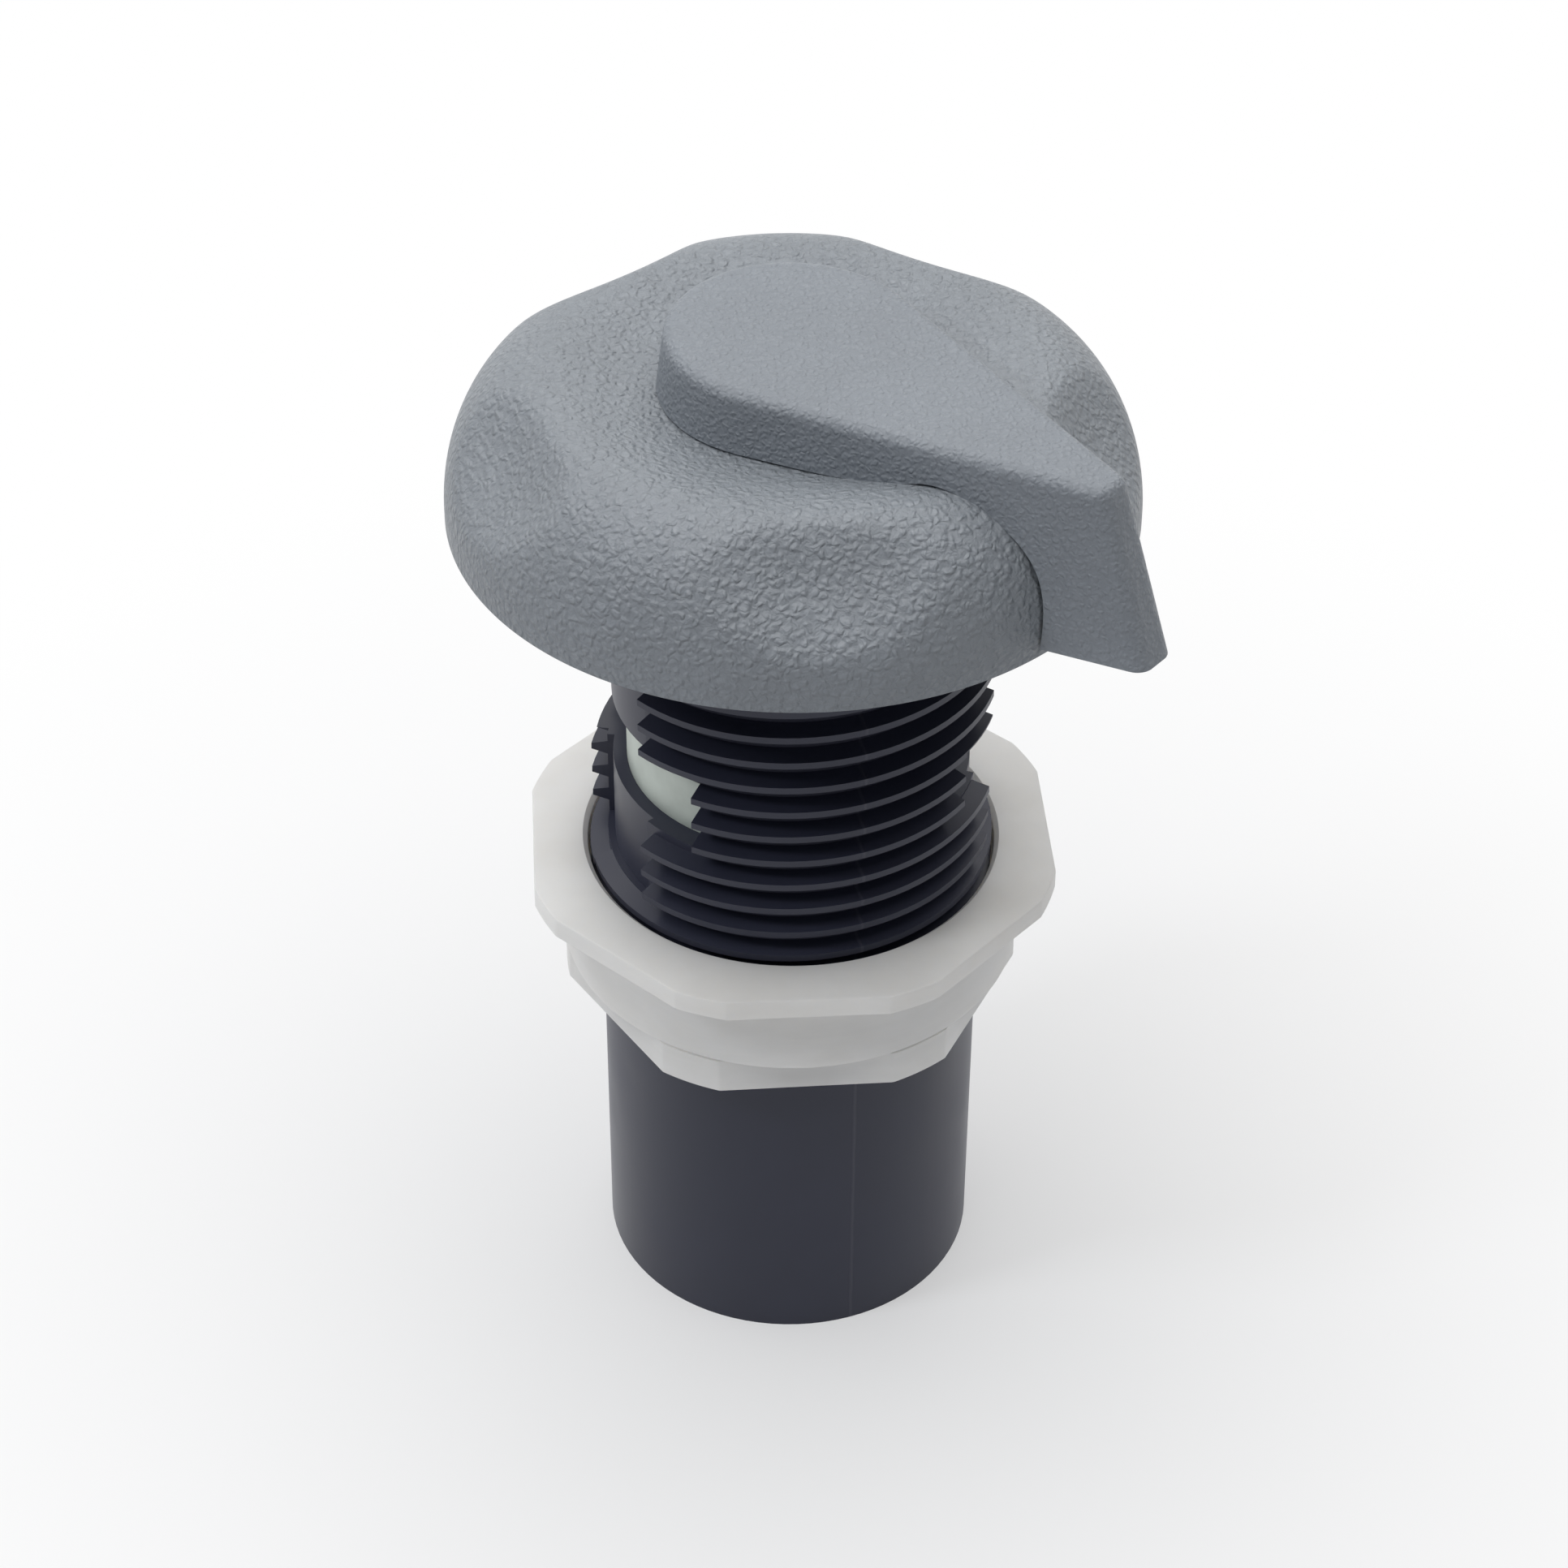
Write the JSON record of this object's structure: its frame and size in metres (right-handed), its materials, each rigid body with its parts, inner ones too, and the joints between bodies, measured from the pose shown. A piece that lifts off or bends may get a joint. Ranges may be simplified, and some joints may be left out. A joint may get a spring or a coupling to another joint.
{
  "type": "air control valve",
  "caption": "Top-access air control valve: threaded shank with side air windows, lock nut, scalloped round cover and a quarter-turn teardrop lever.",
  "frame": {"origin": "centre of the spigot's foot, on the axis of the shank", "axes": "+Z along the shank's axis from the spigot to the lever, -Y towards the front of the valve as pictured, +X to its right"},
  "size_m": [0.0831, 0.0824, 0.1397],
  "materials": {
    "body_plastic": "satin blue-black moulded plastic",
    "nut_plastic": "natural white moulded plastic, slightly translucent",
    "cover_plastic": "grey moulded plastic with a coarse leather grain",
    "lever_plastic": "grey moulded plastic with a fine spark texture",
    "sleeve_plastic": "pale greenish white moulded plastic",
    "seal_rubber": "black rubber"
  },
  "bodies": {
    "housing": {"valve_body": "body_plastic", "flange_gasket": "seal_rubber", "escutcheon_cover": "cover_plastic"},
    "nut": {"lock_nut": "nut_plastic"},
    "control": {"lever": "lever_plastic", "air_sleeve": "sleeve_plastic", "lower_o_ring": "seal_rubber", "upper_o_ring": "seal_rubber"}
  },
  "joints": [
    {"name": "lever_turn", "type": "hinge", "parent": "housing", "child": "control", "pos_m": [0, 0, 0.122], "axis": [0, 0, 1], "range_deg": [0, 90]},
    {"name": "nut_travel", "type": "slide", "parent": "housing", "child": "nut", "axis": [0, 0, 1], "range_m": [0, 0.0496]}
  ]
}
